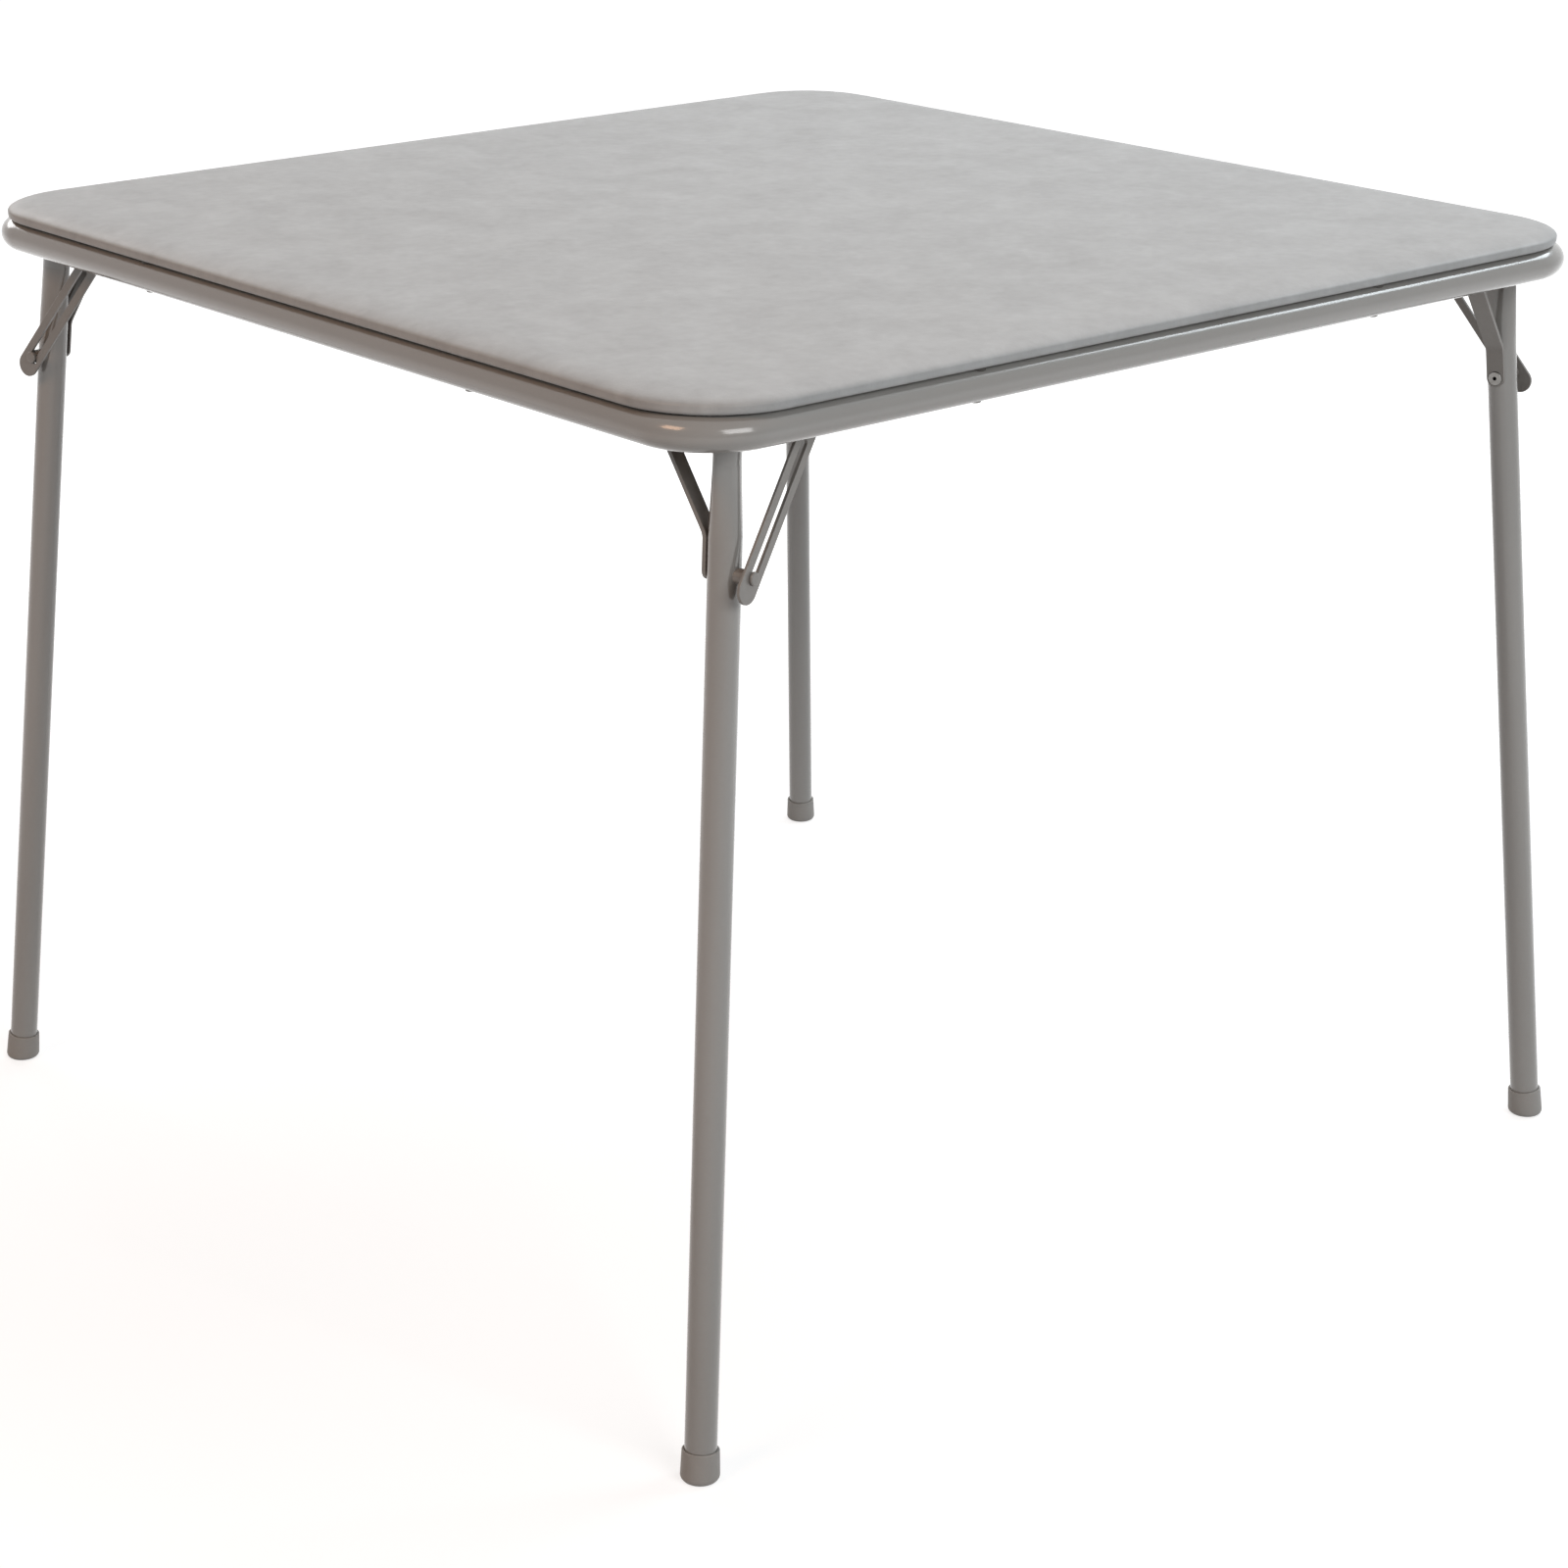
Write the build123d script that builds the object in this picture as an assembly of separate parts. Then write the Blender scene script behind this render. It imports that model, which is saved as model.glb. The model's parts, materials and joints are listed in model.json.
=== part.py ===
from build123d import *
import math
import os

# Folding card table. Millimetres, +Z up, floor at Z = 0, origin under the middle of the table.
# One corner is built at front left, and the other three are the same corner turned about Z.

# Frame: one round tube bent into a rounded square
frame_side = 851.0
frame_tube_diameter = 22.2
frame_tube_wall = 1.2
frame_bend_radius = 46.0

# Whole table
table_height = 705.0

# Padded panel that lies on the frame
panel_inset = 0.75
panel_corner_radius = 70.0
panel_gap = 1.0
board_thickness = 4.5
foam_thickness = 3.2
vinyl_thickness = 0.9
panel_crown = 1.2
crown_shares = (1.0, 0.8, 0.55, 0.25)
panel_top_edge_radius = 5.2
panel_bottom_edge_radius = 1.8
hem_width = 27.0

# Screws that hold the panel down
screw_corner_distance = 235.5
screw_shank_diameter = 3.8
screw_head_diameter = 8.4
screw_head_height = 2.4
screw_depth_in_board = 3.4
screw_recess_length = 4.4
screw_recess_width = 1.0
screw_recess_depth = 1.4
spacer_diameter = 13.0
spacer_skirt = 1.6
loose_hole_clearance = 0.25

# Hinge of each leg: where its axis crosses the leg, and how it stands
hinge_inset_along = 56.8
hinge_inset_across = 39.0
hinge_drop = 6.4
splay_along = 4.77
splay_across = 3.69
fold_toe_in = 13.7
hinge_pin_diameter = 6.0
hinge_pin_head_diameter = 11.0
hinge_pin_head_height = 2.2
hinge_pin_peen_diameter = 9.4
hinge_pin_peen_height = 1.5
running_clearance = 0.05
moving_gap = 0.3

# Leg tube
leg_tube_diameter = 21.4
leg_tube_wall = 1.1
leg_pressed_width = 25.6
leg_pressed_thickness = 12.2
leg_pressed_length = 20.0
leg_swage_length = 44.0

# Cap on the foot
cap_mouth_diameter = 24.8
cap_base_diameter = 26.6
cap_height = 21.0
cap_floor = 3.6
cap_mouth_edge_radius = 0.6
cap_bottom_radius = 4.0

# Side brace: a strap from the far end of the hinge pin to the leg
side_brace_reach = 43.2
side_brace_width = 13.3
side_brace_thickness = 1.6
side_brace_upper_bend = 8.0
side_brace_lower_bend = 63.0
side_brace_rivet_drop = 85.0
side_brace_eye_radius = 9.0
side_brace_lip = 1.2
side_brace_bend_radius = 12.0
side_brace_seat = 0.05
tube_rivet_head_diameter = 10.2
tube_rivet_head_height = 1.1
tube_rivet_shank_diameter = 5.6
tube_rivet_hole_diameter = 3.0
tube_rivet_tail = 2.4

# Sleeve on the hinge pin
sleeve_diameter = 9.6

# Corner bracket
bracket_thickness = 2.0
bracket_ear_width = 22.0
bracket_ear_gap = 0.8
bracket_weld_gap = 0.1
bracket_window_length = 22.0
brace_ear_width = 19.0

# Lock brace: slotted bar between the frame and the leg
lock_pivot_along = 61.5
lock_pin_drop = 87.0
lock_brace_width = 18.4
lock_brace_thickness = 2.2
lock_brace_standoff = 19.0
lock_tab_overhang = 8.0
lock_slot_width = 6.0
lock_slot_end_room = 0.4
lock_slot_spare = 6.0
lock_notch_depth = 2.6
lock_edge_radius = 0.5
lock_rivet_diameter = 6.0
lock_rivet_head_diameter = 11.0
lock_rivet_head_height = 1.8

# Pin that rides in the slot, and the collar on the leg behind it
collar_diameter = 10.0
pin_shank_diameter = 5.4
pin_shoulder_diameter = 9.0
pin_shoulder_height = 0.8
pin_head_diameter = 8.6
pin_head_height = 1.9

# One overrun serves every cut
overrun = 60.0

# Worked out from the sizes above
frame_tube_radius = frame_tube_diameter / 2
frame_half = frame_side / 2 - frame_tube_radius
panel_side = frame_side - 2 * panel_inset
screw_spacing = frame_side - 2 * screw_corner_distance
panel_thickness = vinyl_thickness + board_thickness + foam_thickness + vinyl_thickness
panel_bottom = table_height - panel_thickness
frame_height = panel_bottom - panel_gap - frame_tube_radius
leg_radius = leg_tube_diameter / 2
hinge_height = frame_height - hinge_drop
hinge_pin_radius = hinge_pin_diameter / 2
cap_mouth_radius = cap_mouth_diameter / 2
cap_base_radius = cap_base_diameter / 2

# The leg folds in a plane: along is where it points folded, stand is where it points standing
hinge_point = Vector(
    hinge_inset_along - frame_side / 2,
    hinge_inset_across - frame_side / 2,
    hinge_height,
)
toe = math.radians(fold_toe_in)
along = Vector(math.cos(toe), math.sin(toe), 0)
stand = Vector(
    -math.tan(math.radians(splay_along)),
    -math.tan(math.radians(splay_across)),
    -1,
).normalized()
outward = stand.cross(along).normalized()
open_angle = math.degrees(math.acos(along.dot(stand)))
leg_lean = 90 - open_angle
leg_reach = hinge_height / -stand.Z

# Corner frame: X along the folded leg, Y up, Z outward along the hinge axis
corner_plane = Plane(origin=hinge_point, x_dir=along, z_dir=outward)

# Lock brace at rest, seen in the corner frame
pin_place = Vector(0, -lock_pin_drop).rotate(Axis.Z, leg_lean)
pivot_place = Vector(lock_pivot_along, 0)
brace_line = pin_place - pivot_place
brace_span = brace_line.length
brace_angle = math.degrees(math.atan2(brace_line.Y, brace_line.X)) % 360
brace_fold_angle = 360 - brace_angle
pin_travel = brace_span - (lock_pin_drop - lock_pivot_along)
lock_brace_outer = lock_brace_standoff + lock_brace_thickness
collar_top = lock_brace_standoff - moving_gap - pin_shoulder_height - moving_gap

# The bracket clears the leg's pressed top, which turns upright as the leg folds
bracket_rise = leg_pressed_width / 2 + bracket_ear_gap

# The bracket's ears, as distances from the leg's middle along the hinge axis
near_ear = leg_pressed_thickness / 2 + bracket_ear_gap
far_ear = side_brace_reach + side_brace_thickness + bracket_ear_gap
pivot_ear = lock_brace_outer + bracket_ear_gap

screw_tip = panel_bottom + vinyl_thickness + screw_depth_in_board
corner_names = ["front_left", "front_right", "rear_right", "rear_left"]
os.makedirs("parts", exist_ok=True)


def rounded_square(side, radius, height):
    """A flat rounded square at a height."""
    return Pos(0, 0, height) * RectangleRounded(side, side, radius)


def rod(radius, start, end, x=0, y=0):
    """A round bar along Z between two heights."""
    return Pos(x, y, (start + end) / 2) * Cylinder(radius, end - start)


def frame_tube(radius):
    """The frame's bent tube as a solid bar of a radius."""
    path = rounded_square(2 * frame_half, frame_bend_radius, frame_height).face().outer_wire()
    start = Plane(origin=path @ 0, z_dir=path % 0)
    return sweep(start * Circle(radius), path=path)


def screw_places():
    """The eight screw places along the frame's four sides."""
    places = []
    for side in range(len(corner_names)):
        for offset in (-screw_spacing / 2, screw_spacing / 2):
            places.append(Vector(offset, -frame_half).rotate(Axis.Z, 90 * side))
    return places


def at_screws(piece):
    """Copies of a piece at every screw place."""
    return [Pos(place.X, place.Y, 0) * piece for place in screw_places()]


def panel_block(shrink):
    """The panel's block with rounded edges and a crown, drawn in on all sides by a thickness."""
    side = panel_side - 2 * shrink
    bottom = panel_bottom + shrink
    shoulder = table_height - panel_crown - shrink
    block = extrude(rounded_square(side, panel_corner_radius - shrink, bottom), shoulder - bottom)
    block = fillet(block.edges().group_by(Axis.Z)[-1], panel_top_edge_radius - shrink)
    block = fillet(block.edges().group_by(Axis.Z)[0], panel_bottom_edge_radius - shrink)
    flat_side = panel_side - 2 * panel_top_edge_radius
    flat_radius = panel_corner_radius - panel_top_edge_radius
    levels = []
    fullness = 1 - crown_shares[-1] ** 2
    for share in crown_shares:
        height = shoulder + panel_crown * (1 - share**2) / fullness
        levels.append(rounded_square(flat_side * share, flat_radius * share, height))
    return block + loft(levels, ruled=True)


def slab(bottom, top):
    """A slab wider than the table between two heights."""
    return extrude(Pos(0, 0, bottom) * Rectangle(2 * frame_side, 2 * frame_side), top - bottom)


def panel_pieces():
    """Board, foam and vinyl, cut from one another so that they fit."""
    outer = panel_block(0)
    inner = panel_block(vinyl_thickness)
    board_top = panel_bottom + vinyl_thickness + board_thickness
    window_side = panel_side - 2 * hem_width
    window = extrude(
        rounded_square(window_side, panel_corner_radius - hem_width, panel_bottom - vinyl_thickness),
        2 * vinyl_thickness,
    )
    shank = rod(screw_shank_diameter / 2, panel_bottom - overrun, screw_tip)
    cover = outer - inner - window - at_screws(shank)
    board = inner & slab(panel_bottom, board_top)
    board -= at_screws(shank)
    foam = inner & slab(board_top, table_height)
    return {"vinyl_cover": cover, "panel_board": board, "foam_pad": foam}


def frame_pieces():
    """The ring frame, the screws through it and the saddles on top of it."""
    tube = frame_tube(frame_tube_radius) - frame_tube(frame_tube_radius - frame_tube_wall)
    loose = rod(screw_shank_diameter / 2 + loose_hole_clearance, frame_height - overrun, table_height)
    ring = tube - at_screws(loose)
    seat = frame_height - frame_tube_radius
    head = rod(screw_head_diameter / 2, seat - screw_head_height, seat)
    head = fillet(head.edges().group_by(Axis.Z)[0], screw_head_height / 3)
    cross = Rectangle(screw_recess_length, screw_recess_width)
    cross += Rectangle(screw_recess_width, screw_recess_length)
    recess = extrude(Pos(0, 0, seat - screw_head_height) * cross, screw_recess_depth)
    screw = head + rod(screw_shank_diameter / 2, seat, screw_tip) - recess
    saddle = rod(spacer_diameter / 2, frame_height + frame_tube_radius - spacer_skirt, panel_bottom)
    saddle -= rod(screw_shank_diameter / 2 + loose_hole_clearance, frame_height, table_height)
    rail = frame_tube(frame_tube_radius)
    saddles = [piece - rail for piece in at_screws(saddle)]
    return {
        "ring_frame": ring,
        "panel_screws": Compound(children=at_screws(screw)),
        "panel_spacers": Compound(children=saddles),
    }


def in_leg(piece):
    """Turns a piece drawn along the leg, which runs down -Y, to where the leg stands."""
    return Rot(0, 0, leg_lean) * piece


def to_table(piece):
    """Moves a piece from the corner frame to the table's front left corner."""
    return corner_plane.location * piece


def pressed_section(distance, shrink):
    """The leg's oval at its pressed top, drawn in by a wall."""
    plane = Plane(origin=(0, -distance, 0), x_dir=(1, 0, 0), z_dir=(0, -1, 0))
    return plane * Ellipse(leg_pressed_width / 2 - shrink, leg_pressed_thickness / 2 - shrink)


def round_section(distance, shrink):
    """The leg's round tube at a distance below the hinge."""
    plane = Plane(origin=(0, -distance, 0), x_dir=(1, 0, 0), z_dir=(0, -1, 0))
    return plane * Circle(leg_radius - shrink)


def leg_bar(shrink):
    """The leg as a solid bar: pressed top, swage and round shank."""
    swage_end = leg_pressed_length + leg_swage_length
    end = leg_pressed_width / 2
    top = extrude(pressed_section(-end, shrink), end + leg_pressed_length)
    swage = loft([pressed_section(leg_pressed_length, shrink), round_section(swage_end, shrink)])
    shank = extrude(round_section(swage_end, shrink), leg_reach - cap_floor - swage_end)
    return top + swage + shank


def leg_tube():
    """The leg's tube with its rounded end and the hinge and rivet holes."""
    keep = rod(leg_pressed_width / 2, -leg_radius, leg_radius)
    keep += extrude(Plane.XZ * Rectangle(leg_pressed_width, leg_tube_diameter), leg_reach)
    tube = (leg_bar(0) & keep) - leg_bar(leg_tube_wall)
    tube -= rod(hinge_pin_radius + running_clearance, -leg_radius, leg_radius)
    tube -= rod(tube_rivet_shank_diameter / 2, -leg_tube_diameter, 0, y=-side_brace_rivet_drop)
    return tube


def foot_cap():
    """The moulded cap: a tapered cup with an eased mouth, cut level where it stands on the floor."""
    mouth = leg_reach - cap_height
    length = cap_height + cap_floor
    body = Pos(0, -mouth - length / 2, 0) * (Rot(90, 0, 0) * Cone(cap_mouth_radius, cap_base_radius, length))
    depth = cap_height - cap_floor
    body -= Pos(0, -mouth - depth / 2, 0) * (Rot(90, 0, 0) * Cylinder(leg_radius, depth))
    body = fillet(body.edges().group_by(Axis.Y)[-1], cap_mouth_edge_radius)
    cap = to_table(in_leg(body)) & slab(0, table_height)
    return fillet(cap.edges().group_by(Axis.Z)[0], cap_bottom_radius)


def strap_run(lift, thickness):
    """The side brace seen along the fold: a bent strip, lifted towards the leg."""
    lower = -(leg_radius + side_brace_seat + side_brace_thickness / 2) + lift
    upper = -(side_brace_reach + side_brace_thickness / 2) + lift
    path = FilletPolyline(
        (side_brace_eye_radius, upper),
        (-side_brace_upper_bend, upper),
        (-side_brace_lower_bend, lower),
        (-side_brace_rivet_drop - side_brace_width / 2, lower),
        radius=side_brace_bend_radius,
    )
    return Plane.YZ * trace(path, thickness)


def side_brace():
    """The strap: an eye on the hinge pin, two bends, a raised edge and a round end on the leg."""
    half = side_brace_width / 2
    end = Pos(0, -side_brace_rivet_drop) * Circle(half)
    outline = end + Pos(0, -side_brace_rivet_drop / 2) * Rectangle(side_brace_width, side_brace_rivet_drop)
    eye = Circle(side_brace_eye_radius)
    depth = side_brace_reach + overrun
    blank = extrude(strap_run(0, side_brace_thickness), side_brace_eye_radius, both=True)
    strap = blank & extrude(outline + eye, -depth)
    lip_lift = (side_brace_thickness + side_brace_lip) / 2
    lip = extrude(strap_run(lip_lift, side_brace_lip), side_brace_thickness / 2, both=True)
    lip = Pos(side_brace_thickness / 2 - half, 0, 0) * lip
    strap += lip & extrude(outline, -depth)
    strap -= rod(hinge_pin_radius + running_clearance, -depth, 0)
    return strap - rod(tube_rivet_shank_diameter / 2, -depth, 0, y=-side_brace_rivet_drop)


def side_brace_rivet():
    """The tubular rivet that holds the strap's lower end to the leg."""
    seat = -(leg_radius + side_brace_seat + side_brace_thickness)
    head = rod(tube_rivet_head_diameter / 2, seat - tube_rivet_head_height, seat)
    head = fillet(head.edges().group_by(Axis.Z)[0], tube_rivet_head_height / 2)
    shank = rod(tube_rivet_shank_diameter / 2, seat, tube_rivet_tail - leg_radius)
    hole = rod(tube_rivet_hole_diameter / 2, seat - overrun, 0)
    return Pos(0, -side_brace_rivet_drop, 0) * (head + shank - hole)


def hinge_spacer():
    """The sleeve on the hinge pin, coped to the leg's oval top."""
    sleeve = rod(sleeve_diameter / 2, -side_brace_reach, 0) - leg_bar(0)
    return sleeve - rod(hinge_pin_radius + running_clearance, -side_brace_reach, 0)


def lock_pin_collar():
    """The shoulder on the leg's outer side, coped to the tube."""
    collar = rod(collar_diameter / 2, 0, collar_top)
    collar = fillet(collar.edges().group_by(Axis.Z)[-1], pin_shoulder_height / 2)
    return Pos(0, -lock_pin_drop, 0) * collar - leg_bar(0)


def lock_pin():
    """The headed pin in the lock brace's slot."""
    shoulder = rod(pin_shoulder_diameter / 2, collar_top + moving_gap, lock_brace_standoff - moving_gap)
    head_seat = lock_brace_outer + moving_gap
    shank = rod(pin_shank_diameter / 2, lock_brace_standoff - moving_gap, head_seat)
    head = rod(pin_head_diameter / 2, head_seat, head_seat + pin_head_height)
    head = fillet(head.edges().group_by(Axis.Z)[-1], pin_head_height / 2)
    return Pos(pin_place.X, pin_place.Y, 0) * (shoulder + shank + head)


def lock_brace():
    """The slotted bar with its side notch, thumb tab and eased edges."""
    half = lock_brace_width / 2
    tab = brace_span + lock_tab_overhang
    blank = Circle(half) + Pos(tab / 2, 0) * Rectangle(tab, lock_brace_width) + Pos(tab, 0) * Circle(half)
    near = brace_span - pin_travel - lock_slot_spare
    far = brace_span + lock_slot_end_room
    slot_half = lock_slot_width / 2
    slot = Pos((near + far) / 2, 0) * Rectangle(far - near, lock_slot_width)
    slot += Pos(near, 0) * Circle(slot_half) + Pos(far, 0) * Circle(slot_half)
    slot += Pos(far, lock_notch_depth / 2) * Rectangle(lock_slot_width, lock_notch_depth)
    slot += Pos(far, lock_notch_depth) * Circle(slot_half)
    bar = extrude(blank, lock_brace_thickness)
    bar = fillet(bar.edges().filter_by(Plane.XY), lock_edge_radius)
    bar -= extrude(slot, lock_brace_thickness)
    bar -= rod(lock_rivet_diameter / 2 + running_clearance, 0, lock_brace_thickness)
    turned = Rot(0, 0, brace_angle) * Pos(0, 0, lock_brace_standoff) * bar
    return Pos(pivot_place.X, pivot_place.Y, 0) * turned


def lock_brace_rivet():
    """The rivet that the lock brace turns on, through the bracket's third ear."""
    seat = lock_brace_standoff - moving_gap
    back = pivot_ear + bracket_thickness
    head = rod(lock_rivet_head_diameter / 2, seat - lock_rivet_head_height, seat)
    head = fillet(head.edges().group_by(Axis.Z)[0], lock_rivet_head_height / 2)
    tail = rod(hinge_pin_peen_diameter / 2, back, back + hinge_pin_peen_height)
    tail = fillet(tail.edges().group_by(Axis.Z)[-1], hinge_pin_peen_height / 2)
    shank = rod(lock_rivet_diameter / 2, seat, back)
    return Pos(pivot_place.X, pivot_place.Y, 0) * (head + shank + tail)


def hinge_pin():
    """The long rivet on the hinge axis, from the near ear to the far ear."""
    near = near_ear + bracket_thickness
    far = -(far_ear + bracket_thickness)
    head = rod(hinge_pin_head_diameter / 2, near, near + hinge_pin_head_height)
    head = fillet(head.edges().group_by(Axis.Z)[-1], hinge_pin_head_height / 2)
    peen = rod(hinge_pin_peen_diameter / 2, far - hinge_pin_peen_height, far)
    peen = fillet(peen.edges().group_by(Axis.Z)[0], hinge_pin_peen_height / 2)
    return head + rod(hinge_pin_radius, far, near) + peen


def bracket_ear(width, place, start, hole_radius):
    """One turned-down ear with a round end and its hole, from start outward by a plate."""
    drop = bracket_rise + bracket_thickness
    plate = Circle(width / 2) + Pos(0, drop / 2) * Rectangle(width, drop)
    ear = extrude(Pos(0, 0, start) * plate, bracket_thickness)
    ear -= rod(hole_radius, start, start + bracket_thickness)
    return Pos(place.X, place.Y, 0) * ear


def bracket_web():
    """The level plate of the bracket in the corner frame, before the frame's tube trims it."""
    half = bracket_ear_width / 2
    inner = far_ear + bracket_thickness
    pivot_end = pivot_place.X + brace_ear_width / 2
    pivot_start = pivot_place.X - brace_ear_width / 2
    outline = Polyline(
        (pivot_end, -pivot_ear),
        (pivot_end, -overrun),
        (-overrun, -overrun),
        (-overrun, inner),
        (half, inner),
        (half + bracket_rise / 2, inner - bracket_rise),
        (pivot_start, -pivot_ear),
        close=True,
    )
    level = Plane(origin=(0, bracket_rise, 0), x_dir=(1, 0, 0), z_dir=(0, 1, 0))
    web = extrude(level * make_face(outline), bracket_thickness)
    window = Rectangle(bracket_ear_width, bracket_window_length)
    window = level * Pos(0, bracket_window_length / 2 - near_ear) * window
    return web - extrude(window, bracket_thickness)


def corner_bracket():
    """The stamped bracket: a level plate with three turned-down ears, trimmed to the frame."""
    pivot = bracket_ear(brace_ear_width, pivot_place, pivot_ear, lock_rivet_diameter / 2)
    near = bracket_ear(bracket_ear_width, Vector(0, 0), near_ear, hinge_pin_radius)
    far = bracket_ear(bracket_ear_width, Vector(0, 0), -far_ear - bracket_thickness, hinge_pin_radius)
    plate = to_table(bracket_web() + pivot + near + far)
    inside = extrude(rounded_square(2 * frame_half, frame_bend_radius, 0), table_height)
    return (plate & inside) - frame_tube(frame_tube_radius + bracket_weld_gap)


def corner_pieces():
    """Every piece of the front left corner, in the table's frame."""
    return {
        "corner_bracket": corner_bracket(),
        "hinge_pin": to_table(hinge_pin()),
        "hinge_spacer": to_table(in_leg(hinge_spacer())),
        "leg_tube": to_table(in_leg(leg_tube())),
        "foot_cap": foot_cap(),
        "side_brace": to_table(in_leg(side_brace())),
        "side_brace_rivet": to_table(in_leg(side_brace_rivet())),
        "lock_pin_collar": to_table(in_leg(lock_pin_collar())),
        "lock_pin": to_table(lock_pin()),
        "lock_brace": to_table(lock_brace()),
        "lock_brace_rivet": to_table(lock_brace_rivet()),
    }


def main():
    """Builds every piece and writes one STEP file for each."""
    pieces = panel_pieces() | frame_pieces()
    for name, piece in corner_pieces().items():
        for turn, corner in enumerate(corner_names):
            pieces[f"{name}_{corner}"] = Rot(0, 0, 90 * turn) * piece
    for name, piece in pieces.items():
        export_step(piece, f"parts/{name}.step")
    print("opening angle", round(open_angle, 4), "leg reach", round(leg_reach, 3))
    print("brace turns", round(brace_fold_angle, 4), "pin slides", round(pin_travel, 4))


main()
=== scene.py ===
"""Looks of a folding card table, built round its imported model.

Everything is in metres in the model's own frame: +Z up, the floor at Z = 0 and the
origin under the middle of the open table. The padded top, the ring of round tube, the
hem's staples and the sunk screws each have a class that makes and dresses them. The
legs, their caps, the brackets, the braces and their pins are the model's own nodes, and
get their finishes in one place.
"""

import sys
import json
import logging
import math
from dataclasses import dataclass, field
from enum import Enum
from typing import Any, Iterable, Optional, Sequence

import bmesh
import bpy
from mathutils import Matrix, Vector

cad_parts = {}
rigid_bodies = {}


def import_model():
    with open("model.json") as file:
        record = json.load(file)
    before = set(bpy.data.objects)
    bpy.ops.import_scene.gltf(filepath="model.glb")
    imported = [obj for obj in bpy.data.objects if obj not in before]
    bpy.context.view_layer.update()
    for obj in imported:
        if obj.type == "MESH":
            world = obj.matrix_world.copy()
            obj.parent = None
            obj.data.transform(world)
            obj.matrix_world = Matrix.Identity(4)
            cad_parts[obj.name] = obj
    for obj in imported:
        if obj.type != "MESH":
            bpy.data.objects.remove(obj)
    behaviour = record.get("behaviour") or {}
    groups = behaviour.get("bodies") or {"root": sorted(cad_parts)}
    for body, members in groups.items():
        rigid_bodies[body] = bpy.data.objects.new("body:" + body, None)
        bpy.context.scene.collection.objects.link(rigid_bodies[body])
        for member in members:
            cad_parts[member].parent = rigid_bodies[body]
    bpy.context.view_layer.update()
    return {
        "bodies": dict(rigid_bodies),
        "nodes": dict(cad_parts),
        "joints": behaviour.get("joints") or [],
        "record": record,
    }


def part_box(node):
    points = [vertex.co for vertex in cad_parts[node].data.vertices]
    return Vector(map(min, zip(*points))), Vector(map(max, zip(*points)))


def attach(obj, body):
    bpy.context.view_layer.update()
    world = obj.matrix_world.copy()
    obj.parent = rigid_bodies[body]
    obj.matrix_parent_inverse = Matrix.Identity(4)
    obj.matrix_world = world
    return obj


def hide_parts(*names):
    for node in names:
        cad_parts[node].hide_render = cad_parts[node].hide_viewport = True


LOG = logging.getLogger("card_table")
MM = 0.001
TINY = 1e-6
ROOT_BODY = "table_top"

Colour = tuple[float, float, float]
WHITE: Colour = (1.0, 1.0, 1.0)

# The sRGB curve: a straight start up to the knee, then a power
SRGB_KNEE = 0.04045
SRGB_SLOPE = 12.92
SRGB_OFFSET = 0.055
SRGB_POWER = 2.4


class Corner(Enum):
    """The four corners, each a quarter turn about Z after the one before."""

    FRONT_LEFT = 0
    FRONT_RIGHT = 1
    REAR_RIGHT = 2
    REAR_LEFT = 3

    @property
    def label(self) -> str:
        """The corner's name as the nodes and bodies carry it."""
        return self.name.lower()

    @property
    def turn(self) -> Matrix:
        """The turn about Z from the front left corner to this one."""
        return Matrix.Rotation(self.value * math.pi / 2, 4, "Z")


def linear(red: int, green: int, blue: int) -> Colour:
    """Turns an sRGB colour in steps of 255 into linear values.

    Args:
        red, green, blue: the colour as a screen shows it.

    Returns:
        The colour as the shaders take it.
    """

    def channel(value: int) -> float:
        """One channel, by the sRGB curve."""
        share = value / 255
        if share <= SRGB_KNEE:
            return share / SRGB_SLOPE
        return ((share + SRGB_OFFSET) / (1 + SRGB_OFFSET)) ** SRGB_POWER

    return (channel(red), channel(green), channel(blue))


class Mix(Enum):
    """What a Mix node blends: its data type, its two inputs' numbers and its output's."""

    NUMBER = ("FLOAT", 2, 3, 0)
    COLOUR = ("RGBA", 6, 7, 2)


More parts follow.
